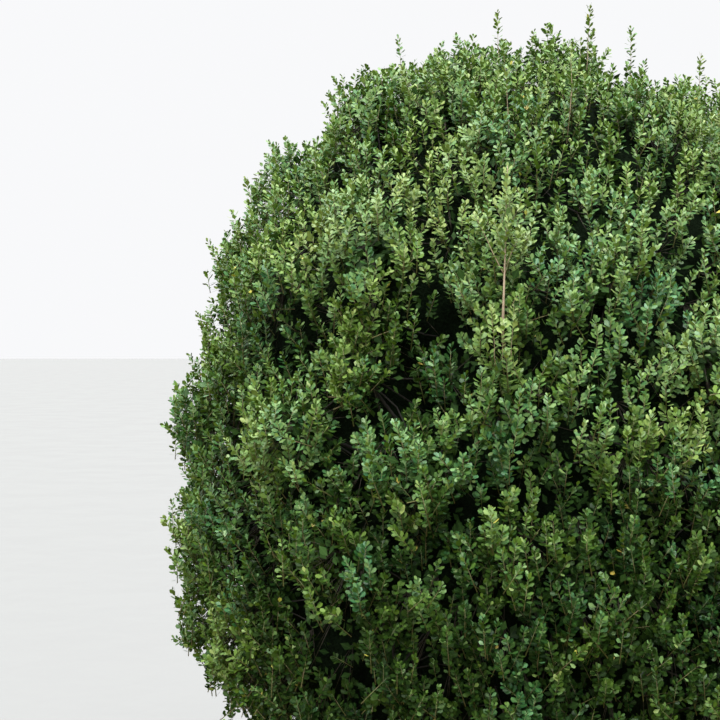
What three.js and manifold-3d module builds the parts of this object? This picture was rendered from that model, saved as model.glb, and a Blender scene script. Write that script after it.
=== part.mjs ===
// A large Japanese holly in a plain clay pot, in millimetres with +Z up.
// The origin is the middle of the pot's flat underside, and the front of the plant faces -Y.
// The crown is an egg of overlapping lobes, shared out among masses of foliage. Each mass is one solid in
// a cell of its own: a stem that meets its bough, a dense core, and twigs with leaves that stand out of it.
import * as THREE from "three";
import { mergeVertices } from "three/addons/utils/BufferGeometryUtils.js";
import Module from "manifold-3d";

const wasm = await Module();
wasm.setup();

const clearance = 0.3; // between pieces that rest on each other

const pot = {
  height: 600,
  footRadius: 285,
  neckRadius: 368,
  rimRadius: 404,
  rimHeight: 92,
  rimWall: 46,
  wall: 30,
  floor: 40,
  edge: 8,
  drainCount: 4,
  drainRadius: 14,
  drainRing: 150,
  drainSides: 8,
  sides: 36,
};

const soil = { top: 555, edgeDrop: 7, flatRadius: 150 };

const trunk = {
  height: 400,
  footRadius: 62,
  topRadius: 50,
  flare: 38, // how far the roots spread at the soil
  flareHeight: 0.16, // as a share of the height
  roots: 5,
  lean: 22,
  sides: 15,
  steps: 7,
};

const crown = {
  middle: 1490, // height of its widest level above the ground
  radius: 975,
  rise: 1200, // from the middle to the top
  drop: 850, // from the middle to the bottom
  risePower: 2.1,
  dropPower: 2.7,
  skin: 158, // from the leaf tips to the cores
};

// Rings of masses, from the bottom up: the height of a ring, and of its stems, in degrees above level.
const rings = [
  { name: "skirt", count: 7, up: -36, stemUp: 6, turn: 0.1 },
  { name: "belly", count: 7, up: 2, stemUp: 20, turn: 0.6 },
  { name: "shoulder", count: 7, up: 38, stemUp: 45, turn: 0.1 },
  { name: "upper", count: 4, up: 65, stemUp: 64, turn: 0.4 },
  { name: "top", count: 1, up: 90, stemUp: 88, turn: 0 },
];
const ringJitter = { turn: 0.1, up: 3 };

const mass = {
  depth: 0.6, // of its middle, as a share of the crown's reach
  inner: 160, // from its middle to the flat of its core that faces the trunk
  stub: 40, // of its stem, from that flat to the bough
  wallGap: 5, // from a core to the edge of its cell
  leafGap: 2,
  potGap: 15, // round the pot and above it
  detail: 2,
  stemRadius: 10,
  stemSides: 5,
};

const lobe = {
  count: 131,
  size: 160,
  sizeSpread: 24,
  reachSpread: 24,
  turnSpread: 0.1,
  skin: 114, // from the leaf tips to the core
  apart: 1.2, // least distance between two lobes, as a share of their mean size
  lowest: -62, // degrees below level
};

// Lobes that stand out at the front, and the dark hollows between them, in degrees to the right of the
// front and above the crown's middle.
const proudLobes = [
  { right: -34, up: 39, size: 185, proud: 34 },
  { right: -31, up: 27, size: 130, proud: 20 },
  { right: -42, up: 12, size: 150, proud: 42 },
  { right: -31, up: 19, size: 92, proud: 16 },
  { right: -20, up: 6, size: 150, proud: 20 },
  { right: -9, up: 32, size: 165, proud: 26 },
  { right: 8, up: 33, size: 165, proud: 10 },
  { right: -77, up: 12, size: 150, proud: 22 },
  { right: -76, up: 38, size: 150, proud: -12 },
  { right: -70, up: -9, size: 165, proud: 18 },
  { right: -64, up: -27, size: 150, proud: 14 },
  { right: -60, up: 64, size: 140, proud: 36 },
  { right: -60, up: 80, size: 170, proud: 16 },
  { right: 40, up: 83, size: 165, proud: 16 },
  { right: 78, up: 67, size: 165, proud: 26 },
];
const hollows = [
  { right: -24, up: 19, size: 105, depth: 90 },
  { right: -31, up: 9, size: 70, depth: 60 },
  { right: -19, up: 33, size: 60, depth: 50 },
  { right: -20, up: 46, size: 85, depth: 60 },
  { right: 8, up: 50, size: 85, depth: 60 },
  { right: -2, up: 20, size: 60, depth: 40 },
  { right: 70, up: 75, size: 75, depth: 60 },
];

// Long shoots that stand up over the lobes, in degrees like them, with the length of each up to its tip.
const leaders = [
  { right: 46, up: 79.6, size: 300, proud: 75 },
  { right: -31, up: 81.6, size: 270, proud: 52 },
  { right: 66, up: 65, size: 280, proud: 52 },
];

// The leader rises to the top mass, main boughs to the shoulder masses, and side boughs leave them for the
// rest. A start is a share of the length of the limb that carries it, and a climb is in degrees above level.
const bough = {
  bend: 0.36,
  leader: { radius: 30, tip: 12, start: 0.97, sides: 7, steps: 7 },
  main: { radius: 25, tip: 12, first: 0.5, last: 0.9, climb: 52, sides: 6, steps: 5 },
  side: { radius: 15, tip: 11, climb: 30, sides: 5, steps: 3 },
  skirtStart: 0.2,
  bellyStart: 0.42,
  upperStart: 0.5,
  upperStep: 0.06,
  upperClimb: 50,
};

const twig = { radius: 11, tipRadius: 8, lift: 0.42, sides: 3, sunk: 50, wallGap: 55 };
const leaf = { length: 108, width: 62, thickness: 5, sunk: 6, perTwig: 3, tries: 7, spread: 54, step: 12 };

const colours = { pot: 0xa9603f, soil: 0x3a2b20, bark: 0x7d7263, foliage: 0x3f6b2d };

const golden = Math.PI * (3 - Math.sqrt(5));
const radians = THREE.MathUtils.degToRad;
const upward = new THREE.Vector3(0, 0, 1);
const heart = new THREE.Vector3(0, 0, crown.middle);

// A number from 0 to 1 that is always the same for the same pair of whole numbers.
function chance(number, kind) {
  const wave = Math.sin(number * 12.9898 + kind * 78.233 + 4.1) * 43758.5453;
  return wave - Math.floor(wave);
}

const spread = (number, kind) => 2 * chance(number, kind) - 1;

// The direction so many degrees to the right of the front, and so many above level.
function direction(right, up) {
  const a = radians(right);
  const e = radians(up);
  return new THREE.Vector3(Math.sin(a) * Math.cos(e), -Math.cos(a) * Math.cos(e), Math.sin(e));
}

// From the crown's heart to its outline: a superellipse, taller above the middle than below it.
function crownReach(d) {
  const above = d.z > 0;
  const power = above ? crown.risePower : crown.dropPower;
  const level = Math.hypot(d.x, d.y) / crown.radius;
  const height = Math.abs(d.z) / (above ? crown.rise : crown.drop);
  return 1 / (level ** power + height ** power) ** (1 / power);
}

// Masses, each with its middle and the direction of its stem.
function makeMasses() {
  return rings.flatMap((ring, ringNumber) =>
    Array.from({ length: ring.count }, (_, k) => {
      const step = 360 / ring.count;
      const seed = 20 * ringNumber + k;
      const loose = ring.count > 1 ? 1 : 0;
      const right = (k + ring.turn + ringJitter.turn * loose * spread(seed, 1)) * step;
      const up = ring.up + ringJitter.up * loose * spread(seed, 2);
      const out = direction(right, up);
      return {
        name: ring.count > 1 ? `${ring.name}_${k + 1}` : ring.name,
        ring: ring.name,
        sector: k,
        seed,
        right,
        centre: heart.clone().addScaledVector(out, mass.depth * crownReach(out)),
        stem: direction(right, ring.stemUp),
        lobes: [],
        leaders: [],
      };
    }),
  );
}

function makeLobe(out, size, proud, seed) {
  const reach = crownReach(out) + proud;
  return { out, size, seed, centre: heart.clone().addScaledVector(out, reach - size) };
}

// The middle of each hollow, at the depth of the lobes round it.
const hollowPlaces = hollows.map((h) => {
  const out = direction(h.right, h.up);
  return { ...h, centre: heart.clone().addScaledVector(out, crownReach(out) - lobe.size) };
});

// The proud lobes first, then a spiral over the rest of the egg, without the hollows and the underside.
function makeLobes() {
  const lobes = proudLobes.map((p, k) => makeLobe(direction(p.right, p.up), p.size, p.proud, 500 + k));
  for (let k = 0; k < lobe.count; k++) {
    const height = 1 - (2 * k + 1) / lobe.count;
    const ring = Math.sqrt(1 - height * height);
    const turn = k * golden + lobe.turnSpread * spread(k, 3);
    const tall = height > 0 ? crown.rise : crown.drop;
    const out = new THREE.Vector3(
      crown.radius * ring * Math.cos(turn),
      crown.radius * ring * Math.sin(turn),
      tall * height,
    ).normalize();
    const size = lobe.size + lobe.sizeSpread * spread(k, 4);
    const made = makeLobe(out, size, lobe.reachSpread * spread(k, 5), k);
    const crowded = lobes.some(
      (other) => other.centre.distanceTo(made.centre) < lobe.apart * (other.size + size) * 0.5,
    );
    const hollow = hollowPlaces.some((h) => h.centre.distanceTo(made.centre) < h.size + 0.3 * size);
    if (!crowded && !hollow && out.z > Math.sin(radians(lobe.lowest))) lobes.push(made);
  }
  return lobes;
}

// Gives each lobe and each leader to the nearest mass, and each mass the flat walls of its cell, halfway to
// every other mass.
function shareOut(masses, lobes) {
  const nearest = (one) =>
    masses.reduce((best, m) =>
      m.centre.distanceTo(one.centre) < best.centre.distanceTo(one.centre) ? m : best,
    );
  for (const one of lobes) nearest(one).lobes.push(one);
  leaders.forEach((p, k) => {
    const one = makeLobe(direction(p.right, p.up), p.size, p.proud, 600 + k);
    nearest(one).leaders.push(one);
  });
  for (const m of masses) {
    m.walls = masses
      .filter((other) => other !== m)
      .map((other) => {
        const normal = other.centre.clone().sub(m.centre).normalize();
        const middle = other.centre.clone().add(m.centre).multiplyScalar(0.5);
        return { normal, offset: normal.dot(middle) };
      });
    const back = m.stem.clone().negate();
    m.innerWall = { normal: back, offset: back.dot(m.centre) + mass.inner };
    m.foot = m.centre.clone().addScaledVector(m.stem, -(mass.inner + mass.stub));
  }
}

const depthInside = (wall, point) => wall.offset - wall.normal.dot(point);

function solidOf(geometry) {
  const plain = geometry.clone();
  plain.deleteAttribute("normal");
  plain.deleteAttribute("uv");
  const merged = mergeVertices(plain, 1e-3);
  return new wasm.Manifold(
    new wasm.Mesh({
      numProp: 3,
      vertProperties: new Float32Array(merged.attributes.position.array),
      triVerts: new Uint32Array(merged.index.array),
    }),
  );
}

// The largest body of a solid, as a mesh with flat faces.
function meshOf(solid, name, colour, roughness) {
  const body = solid.decompose().reduce((best, one) => (one.volume() > best.volume() ? one : best));
  const made = body.getMesh();
  const points = new Float32Array(made.numVert * 3);
  for (let i = 0; i < made.numVert; i++) {
    points.set(made.vertProperties.subarray(i * made.numProp, i * made.numProp + 3), i * 3);
  }
  const geometry = new THREE.BufferGeometry()
    .setAttribute("position", new THREE.BufferAttribute(points, 3))
    .setIndex(new THREE.BufferAttribute(new Uint32Array(made.triVerts), 1))
    .toNonIndexed();
  geometry.computeVertexNormals();
  const finish = new THREE.MeshStandardMaterial({ color: colour, roughness, metalness: 0 });
  const mesh = new THREE.Mesh(geometry, finish);
  mesh.name = name;
  return mesh;
}

// A closed limb along a curve. radiusAt gives its radius from the share of its length and the angle round it.
// A grown limb is that much thicker, and that much longer at both ends.
function limbGeometry(curve, radiusAt, sides, steps, grow = 0) {
  const frames = curve.computeFrenetFrames(steps, false);
  const points = [];
  for (let i = 0; i <= steps; i++) {
    const end = i === 0 ? -grow : i === steps ? grow : 0;
    const middle = curve.getPointAt(i / steps).addScaledVector(frames.tangents[i], end);
    for (let j = 0; j < sides; j++) {
      const angle = (2 * Math.PI * j) / sides;
      const r = radiusAt(i / steps, angle) + grow;
      const p = middle
        .clone()
        .addScaledVector(frames.normals[i], r * Math.cos(angle))
        .addScaledVector(frames.binormals[i], r * Math.sin(angle));
      points.push(p.x, p.y, p.z);
    }
  }
  const faces = [];
  for (let i = 0; i < steps; i++) {
    for (let j = 0; j < sides; j++) {
      const a = i * sides + j;
      const b = i * sides + ((j + 1) % sides);
      faces.push(a, b, a + sides, b, b + sides, a + sides);
    }
  }
  const last = steps * sides;
  for (let j = 1; j < sides - 1; j++) {
    faces.push(0, j + 1, j, last, last + j, last + j + 1);
  }
  const geometry = new THREE.BufferGeometry();
  geometry.setAttribute("position", new THREE.Float32BufferAttribute(points, 3));
  geometry.setIndex(faces);
  return geometry;
}

const taper = (from, to) => (share) => THREE.MathUtils.lerp(from, to, share);

// A smooth path that leaves one point along one direction and reaches another along a second.
function bentPath(from, leaving, to, arriving) {
  const pull = bough.bend * from.distanceTo(to);
  return new THREE.CubicBezierCurve3(
    from,
    from.clone().addScaledVector(leaving, pull),
    to.clone().addScaledVector(arriving, -pull),
    to,
  );
}

// The pot's outline, up its outside, over the rim and down its inside.
function potProfile() {
  const rimFoot = pot.height - pot.rimHeight;
  const innerRim = pot.rimRadius - pot.rimWall;
  return [
    [0, 0],
    [pot.footRadius - pot.edge, 0],
    [pot.footRadius, pot.edge],
    [pot.neckRadius, rimFoot - pot.edge],
    [pot.rimRadius - pot.edge, rimFoot],
    [pot.rimRadius, pot.height - pot.edge],
    [pot.rimRadius - pot.edge, pot.height],
    [innerRim + pot.edge, pot.height],
    [innerRim, pot.height - pot.edge],
    [pot.footRadius - pot.wall, pot.floor],
    [0, pot.floor],
  ];
}

function turned(profile) {
  const points = profile.map(([x, y]) => new THREE.Vector2(x, y));
  return new THREE.LatheGeometry(points, pot.sides).rotateX(Math.PI / 2);
}

function makePot() {
  let solid = solidOf(turned(potProfile()));
  const hole = new THREE.CylinderGeometry(pot.drainRadius, pot.drainRadius, 3 * pot.floor, pot.drainSides);
  hole.rotateX(Math.PI / 2);
  for (let k = 0; k < pot.drainCount; k++) {
    const angle = (2 * Math.PI * (k + 0.5)) / pot.drainCount;
    const place = [pot.drainRing * Math.cos(angle), pot.drainRing * Math.sin(angle), 0];
    solid = solid.subtract(solidOf(hole.clone().translate(...place)));
  }
  return meshOf(solid, "pot", colours.pot, 0.8);
}

// Inner radius of the pot at a height, by its straight inside wall.
function insideRadius(height) {
  const share = (height - pot.floor) / (pot.height - pot.edge - pot.floor);
  return THREE.MathUtils.lerp(pot.footRadius - pot.wall, pot.rimRadius - pot.rimWall, share);
}

function makeSoil() {
  const low = pot.floor + clearance;
  const edge = soil.top - soil.edgeDrop;
  const profile = [
    [0, low],
    [insideRadius(low) - clearance, low],
    [insideRadius(edge) - clearance, edge],
    [soil.flatRadius, soil.top],
    [0, soil.top],
  ];
  return meshOf(solidOf(turned(profile)), "soil", colours.soil, 1);
}

function trunkCurve() {
  const foot = new THREE.Vector3(0, 0, soil.top + clearance);
  const head = new THREE.Vector3(trunk.lean, -trunk.lean / 2, soil.top + trunk.height);
  return new THREE.CubicBezierCurve3(
    foot,
    foot.clone().addScaledVector(upward, trunk.height / 3),
    head.clone().addScaledVector(upward, -trunk.height / 3),
    head,
  );
}

function trunkSolid(curve, grow) {
  const radiusAt = (share, angle) => {
    const root = 1 + 0.35 * Math.cos(trunk.roots * angle);
    const flare = trunk.flare * Math.exp(-share / trunk.flareHeight) * root;
    return THREE.MathUtils.lerp(trunk.footRadius, trunk.topRadius, share) + flare;
  };
  return solidOf(limbGeometry(curve, radiusAt, trunk.sides, trunk.steps, grow));
}

// Plans the limb that reaches a mass: its path, and its solid by how much it is grown.
function planLimb(m, from, leaving, { radius, tip, sides, steps }) {
  const path = bentPath(from, leaving, m.foot, m.stem);
  const solid = (grow) => solidOf(limbGeometry(path, taper(radius, tip), sides, steps, grow));
  return { name: `bough_${m.name}`, path, solid };
}

// A leader and one main bough for each sector rise from the trunk, and the side boughs leave those.
function planBoughs(masses, stemCurve) {
  const find = (ring, sector) => masses.find((m) => m.ring === ring && m.sector === sector);
  const { leader, main, side } = bough;
  const tallest = planLimb(find("top", 0), stemCurve.getPointAt(leader.start), upward, leader);
  const limbs = [tallest];
  const shoulders = masses.filter((m) => m.ring === "shoulder");
  shoulders.forEach((m, k) => {
    const rank = ((k * 3) % shoulders.length) / (shoulders.length - 1);
    const from = stemCurve.getPointAt(THREE.MathUtils.lerp(main.first, main.last, rank));
    const limb = planLimb(m, from, direction(m.right, main.climb), main);
    limbs.push(limb);
    for (const [ring, start] of [["skirt", bough.skirtStart], ["belly", bough.bellyStart]]) {
      const carried = find(ring, m.sector);
      const leaving = direction(carried.right, side.climb);
      limbs.push(planLimb(carried, limb.path.getPointAt(start), leaving, side));
    }
  });
  for (const m of masses.filter((one) => one.ring === "upper")) {
    const from = tallest.path.getPointAt(bough.upperStart + bough.upperStep * m.sector);
    limbs.push(planLimb(m, from, direction(m.right, bough.upperClimb), side));
  }
  return limbs;
}

// Cuts each limb clear of the trunk and of the limbs before it, so that it starts at its carrier's bark.
function makeBoughs(limbs, stemCurve) {
  const grown = [trunkSolid(stemCurve, clearance)];
  return limbs.map((limb) => {
    const cut = grown.reduce((left, other) => left.subtract(other), limb.solid(0));
    grown.push(limb.solid(clearance));
    return meshOf(cut, limb.name, colours.bark, 0.9);
  });
}

// How far a ray from a point inside or outside a ball goes before it leaves the ball, or 0 if it misses.
function leavesBall(from, d, centre, radius) {
  const toCentre = centre.clone().sub(from);
  const along = toCentre.dot(d);
  const square = along * along - toCentre.lengthSq() + radius * radius;
  return square > 0 ? Math.max(0, along + Math.sqrt(square)) : 0;
}

// Depth of a point below the skin of the cores, which dips at the hollows.
function depthInCrown(point) {
  const out = point.clone().sub(heart);
  const distance = out.length();
  const dips = hollowPlaces.map((h) => h.depth * Math.exp(-h.centre.distanceToSquared(point) / h.size ** 2));
  const skin = crown.skin + dips.reduce((sum, dip) => sum + dip, 0);
  return crownReach(out.divideScalar(distance)) - skin - distance;
}

// How far a ray from a point in the crown goes before it leaves the skin of the cores, by halving.
function leavesCrown(from, d) {
  let [near, far] = [0, 2 * crown.rise];
  for (let k = 0; k < 20; k++) {
    const middle = (near + far) / 2;
    if (depthInCrown(from.clone().addScaledVector(d, middle)) > 0) near = middle;
    else far = middle;
  }
  return near;
}

// The core fills its cell up to the skin, and swells into each lobe of its mass.
function coreGeometry(m) {
  const geometry = new THREE.IcosahedronGeometry(1, mass.detail);
  const place = geometry.getAttribute("position");
  const walls = [...m.walls.map((w) => ({ normal: w.normal, offset: w.offset - mass.wallGap })), m.innerWall];
  for (let i = 0; i < place.count; i++) {
    const d = new THREE.Vector3().fromBufferAttribute(place, i).normalize();
    let reach = leavesCrown(m.centre, d);
    for (const one of m.lobes) {
      reach = Math.max(reach, leavesBall(m.centre, d, one.centre, one.size - lobe.skin));
    }
    for (const wall of walls) {
      const toward = wall.normal.dot(d);
      if (toward > 0) reach = Math.min(reach, depthInside(wall, m.centre) / toward);
    }
    place.setXYZ(i, ...m.centre.clone().addScaledVector(d, reach).toArray());
  }
  return geometry;
}

function stemGeometry(m) {
  const from = m.foot.clone().addScaledVector(m.stem, clearance);
  const to = m.centre.clone().addScaledVector(m.stem, -mass.inner / 2);
  return limbGeometry(new THREE.LineCurve3(from, to), () => mass.stemRadius, mass.stemSides, 1);
}

// True if every corner of a geometry is inside the mass's cell, and clear of the pot and the ground below.
function fits(geometry, m) {
  const place = geometry.getAttribute("position");
  const corner = new THREE.Vector3();
  for (let i = 0; i < place.count; i++) {
    corner.fromBufferAttribute(place, i);
    const inCell = [...m.walls, m.innerWall].every((wall) => depthInside(wall, corner) > mass.leafGap);
    const overPot = Math.hypot(corner.x, corner.y) < pot.rimRadius + mass.potGap;
    if (!inCell || (overPot && corner.z < pot.height + mass.potGap)) return false;
  }
  return true;
}

// A leaf of eight faces from its root along a direction, as wide as it is across the second direction.
function leafGeometry(root, along, across) {
  const geometry = new THREE.OctahedronGeometry(1);
  geometry.scale(leaf.width / 2, leaf.thickness / 2, leaf.length / 2);
  geometry.translate(0, 0, leaf.length / 2);
  const normal = new THREE.Vector3().crossVectors(along, across);
  geometry.applyMatrix4(new THREE.Matrix4().makeBasis(across, normal, along));
  return geometry.translate(root.x, root.y, root.z);
}

// The twig of one lobe or leader, with a leaf at its tip and leaves round it below the tip, as far as they fit.
function twigGeometries(m, one) {
  const along = one.out.clone().addScaledVector(upward, twig.lift).normalize();
  const margin = Math.min(...m.walls.map((wall) => depthInside(wall, one.centre)));
  const inward = m.centre.clone().sub(one.centre).normalize();
  const base = one.centre.clone().addScaledVector(inward, Math.max(0, twig.wallGap - margin));
  const length = one.size - leaf.length + leaf.sunk;
  const on = (distance) => base.clone().addScaledVector(along, distance);
  const stick = new THREE.CylinderGeometry(twig.tipRadius, twig.radius, length + twig.sunk, twig.sides);
  const middle = on((length - twig.sunk) / 2);
  stick.applyQuaternion(new THREE.Quaternion().setFromUnitVectors(new THREE.Vector3(0, 1, 0), along));
  stick.translate(middle.x, middle.y, middle.z);
  if (!fits(stick, m)) return [];
  const side = new THREE.Vector3().crossVectors(along, direction(60, 0)).normalize();
  const leaves = [leafGeometry(on(length - leaf.sunk), along, side)].filter((made) => fits(made, m));
  for (let k = 1; k < leaf.tries && leaves.length < leaf.perTwig; k++) {
    const round = k * golden + 2 * Math.PI * chance(one.seed, 7);
    const lean = radians(leaf.spread + 10 * spread(one.seed, 8 + k));
    const across = side.clone().applyAxisAngle(along, round);
    const way = along.clone().applyAxisAngle(across, lean);
    const made = leafGeometry(on(length - leaf.step * leaves.length), way, across);
    if (fits(made, m)) leaves.push(made);
  }
  return [stick, ...leaves];
}

function makeMass(m) {
  let solid = solidOf(coreGeometry(m)).add(solidOf(stemGeometry(m)));
  for (const one of [...m.lobes, ...m.leaders]) {
    for (const geometry of twigGeometries(m, one)) solid = solid.add(solidOf(geometry));
  }
  return meshOf(solid, `foliage_${m.name}`, colours.foliage, 0.6);
}

const masses = makeMasses();
shareOut(masses, makeLobes());
const stemCurve = trunkCurve();

const plant = new THREE.Group();
plant.add(makePot(), makeSoil());
plant.add(meshOf(trunkSolid(stemCurve, 0), "trunk", colours.bark, 0.9));
plant.add(...makeBoughs(planBoughs(masses, stemCurve), stemCurve));
plant.add(...masses.map(makeMass));

export default plant;
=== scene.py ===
import math
import bpy
import numpy as np
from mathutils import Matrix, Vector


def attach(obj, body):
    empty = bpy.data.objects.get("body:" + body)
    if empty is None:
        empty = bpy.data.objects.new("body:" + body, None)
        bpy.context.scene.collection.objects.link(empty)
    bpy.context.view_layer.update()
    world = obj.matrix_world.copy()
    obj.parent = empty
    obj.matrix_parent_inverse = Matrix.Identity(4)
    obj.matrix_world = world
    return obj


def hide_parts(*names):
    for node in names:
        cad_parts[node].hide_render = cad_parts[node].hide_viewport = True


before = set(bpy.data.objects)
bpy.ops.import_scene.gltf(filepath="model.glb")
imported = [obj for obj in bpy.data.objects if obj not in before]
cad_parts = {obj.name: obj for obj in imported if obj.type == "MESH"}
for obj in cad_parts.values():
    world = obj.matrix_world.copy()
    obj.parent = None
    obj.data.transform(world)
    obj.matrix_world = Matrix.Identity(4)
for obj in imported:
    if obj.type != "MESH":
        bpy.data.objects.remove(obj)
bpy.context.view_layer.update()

# A large Japanese holly in a plain clay pot. Metres, +Z up, front toward -Y.
# The crown is an egg of overlapping lobes. A lobe carries sprays, a spray is a fan of shoots, and a shoot has
# a spiral of small leaves. Everything is made as whole arrays.

golden = math.pi * (3 - math.sqrt(5))
up = np.array([0.0, 0.0, 1.0])
skew = np.array([0.31, 0.87, 0.13])   # no shoot follows this way

crown = dict(
    middle=1.49, radius=0.975, rise=1.2, drop=0.85, risePower=2.1, dropPower=2.7,
    eggDepth=0.052,   # how far the foliage between the lobes lies behind their tips
)
heart = np.array([0, 0, crown["middle"]])
noise = dict(waves=12, slowest=0.7, faster=0.9, phase=6.28, share=4.2)


# helpers

def chance(number, kind):
    # fraction of a large sine, from 0 to 1: always the same for the same number and kind
    wave = np.sin(number * 12.9898 + kind * 78.233 + 4.1) * 43758.5453
    return wave - np.floor(wave)


def spread(number, kind):
    # twice the chance less one, so from -1 to 1
    return 2 * chance(number, kind) - 1


def spread3(number, kind):
    # a vector of three spreads
    return np.stack([spread(number, kind + k) for k in range(3)], -1)


def unit(v):
    # a vector divided by its length
    return v / np.maximum(np.linalg.norm(v, axis=-1, keepdims=True), 1e-9)


def between(low, high, share):
    # low at share 0, high at share 1, and straight between them
    return low + (high - low) * share


def turns(count):
    # so many equal steps round a circle, in radians
    return 2 * math.pi * np.arange(count) / count


def direction(right, above):
    # so many degrees to the right of the front, and so many above level
    a, e = np.radians(right), np.radians(above)
    return np.stack([np.sin(a) * np.cos(e), -np.cos(a) * np.cos(e), np.sin(e)], -1)


def softNoise(p, size, seed):
    # sum of sine waves of random directions, about as long as size, from -1 to 1
    total = 0
    for k in range(noise["waves"]):
        pace = (noise["slowest"] + noise["faster"] * chance(k, seed + 3)) * 2 * math.pi / size
        total = total + np.sin(p @ unit(spread3(k, seed)) * pace + noise["phase"] * chance(k, seed + 4))
    return total / noise["share"]


def crownReach(d):
    # a superellipse in height and in distance from the axis, taller above the middle than below it
    above = d[..., 2] > 0
    power = np.where(above, crown["risePower"], crown["dropPower"])
    level = np.hypot(d[..., 0], d[..., 1]) / crown["radius"]
    height = np.abs(d[..., 2]) / np.where(above, crown["rise"], crown["drop"])
    return 1 / (level ** power + height ** power) ** (1 / power)


def polar(radius, turn, height):
    # points at radius * cos, radius * sin and height
    return np.stack(np.broadcast_arrays(radius * np.cos(turn), radius * np.sin(turn), height), -1)


def behindTips(out, depth):
    # the point so far behind the tips of the crown: heart + out * (reach - depth)
    return heart + out * (crownReach(out) - depth)[..., None]


def downBall(k, count, turn, wide=1, rise=1, drop=1):
    # the k-th of so many places evenly down a ball, at height 1 - (2 k + 1) / count, stretched in each way
    height = 1 - (2 * k + 1) / count
    ring = np.sqrt(1 - height ** 2) * wide
    tall = np.where(height > 0, rise, drop) * height
    return polar(ring, turn, tall)


def sharedOut(counts):
    # the owner of each of so many things apiece, and its number within its owner
    owner = np.repeat(np.arange(len(counts)), counts)
    return owner, np.arange(counts.sum()) - np.repeat(np.cumsum(counts) - counts, counts)


def nearest(points, targets):
    # index of and distance to the nearest target of each point
    index = np.zeros(len(points), int)
    gap = np.zeros(len(points))
    batch = 2000
    for start in range(0, len(points), batch):
        part = slice(start, start + batch)
        square = (points[part] ** 2).sum(1)[:, None] - 2 * points[part] @ targets.T + (targets ** 2).sum(1)
        index[part] = square.argmin(1)
        gap[part] = np.sqrt(np.maximum(square.min(1), 0))
    return index, gap


def addObject(name, data):
    made = bpy.data.objects.new(name, data)
    bpy.context.scene.collection.objects.link(made)
    return made


def addMesh(name, points, faces, material, smooth=True, shade=None, uv=None):
    # points is (n, 3), faces is (m, 3) or (m, 4), uv is one pair for each corner of each face
    mesh = bpy.data.meshes.new(name)
    mesh.vertices.add(len(points))
    mesh.vertices.foreach_set("co", np.asarray(points, np.float32).ravel())
    mesh.loops.add(faces.size)
    mesh.loops.foreach_set("vertex_index", faces.astype(np.int32).ravel())
    mesh.polygons.add(len(faces))
    mesh.polygons.foreach_set("loop_start", np.arange(0, faces.size, faces.shape[1], dtype=np.int32))
    mesh.update(calc_edges=True)
    mesh.polygons.foreach_set("use_smooth", np.full(len(faces), smooth))
    if shade is not None:
        layer = mesh.attributes.new("leafShade", "FLOAT", "POINT")
        layer.data.foreach_set("value", np.asarray(shade, np.float32))
    if uv is not None:
        layer = mesh.uv_layers.new(name="surface")
        layer.uv.foreach_set("vector", np.asarray(uv, np.float32).ravel())
    mesh.materials.append(material)
    return addObject(name, mesh)


def keep(piece, slot, *nodes):
    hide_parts(*nodes)
    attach(piece, "root")
    print(piece.name, len(piece.data.polygons), "faces")


def bezier(p0, p1, p2, p3, t):
    # cubic curve of four (n, 3) point arrays at the m values of t, as (n, m, 3)
    t = t[None, :, None]
    a, b, c, d = (p[:, None, :] for p in (p0, p1, p2, p3))
    return a * (1 - t) ** 3 + 3 * b * t * (1 - t) ** 2 + 3 * c * t ** 2 * (1 - t) + d * t ** 3


def around(side, other, sides):
    # side * cos + other * sin at equal steps round a circle
    angle = turns(sides)
    return side[..., None, :] * np.cos(angle)[:, None] + other[..., None, :] * np.sin(angle)[:, None]


def copies(faces, count, step):
    # the same faces for so many shapes of step points each
    return (faces[None] + step * np.arange(count)[:, None, None]).reshape(-1, faces.shape[1])


def gridCells(rows, columns):
    # the four corners of each cell of a grid that closes on itself from column to column
    i, j = np.meshgrid(np.arange(rows - 1), np.arange(columns), indexing="ij")
    a, b = i * columns + j, i * columns + (j + 1) % columns
    return a, b, a + columns, b + columns


def closedSkin(rows, columns):
    # triangles from pole to pole: the cells of the grid, then a fan at either pole
    a, b, c, d = gridCells(rows, columns)
    line = np.arange(columns)
    after = (line + 1) % columns
    pole, last = rows * columns, (rows - 1) * columns
    foot = np.stack([np.full(columns, pole), after, line], -1)
    head = np.stack([np.full(columns, pole + 1), line + last, after + last], -1)
    return np.concatenate([np.stack([a, b, d, a, d, c], -1).reshape(-1, 3), foot, head])


def tubes(paths, radii, sides, relief=1):
    # a closed tube round each of n paths of m points: middle + radius * (side * cos + other * sin), where
    # side and other stand square on the path. relief is a factor for each of n x m x sides points.
    n, m, _ = paths.shape
    along = unit(np.gradient(paths, axis=1))
    mean = unit(paths[:, -1] - paths[:, 0])
    steep = np.abs(mean[:, 2:]) >= 0.8
    away = np.where(steep, np.array([1.0, 0, 0]), up)
    side = unit(np.cross(along, away[:, None, :]))
    other = np.cross(along, side)
    swell = np.broadcast_to(radii[:, :, None] * relief, (n, m, sides))[..., None]
    points = paths[:, :, None, :] + swell * around(side, other, sides)
    a, b, c, d = gridCells(m, sides)
    fan = np.arange(1, sides - 1)
    foot = np.stack([0 * fan, fan, fan + 1], -1)
    head = np.stack([0 * fan, fan + 1, fan], -1) + (m - 1) * sides
    faces = np.concatenate([np.stack([a, c, b, b, c, d], -1).reshape(-1, 3), foot, head])[:, ::-1]
    return points.reshape(-1, 3), copies(faces, n, m * sides)


def taperedTubes(paths, first, last, sides, relief=1):
    # tubes whose radius goes evenly from the first to the last
    n, m, _ = paths.shape
    return tubes(paths, np.broadcast_to(np.linspace(first, last, m), (n, m)), sides, relief)


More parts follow.
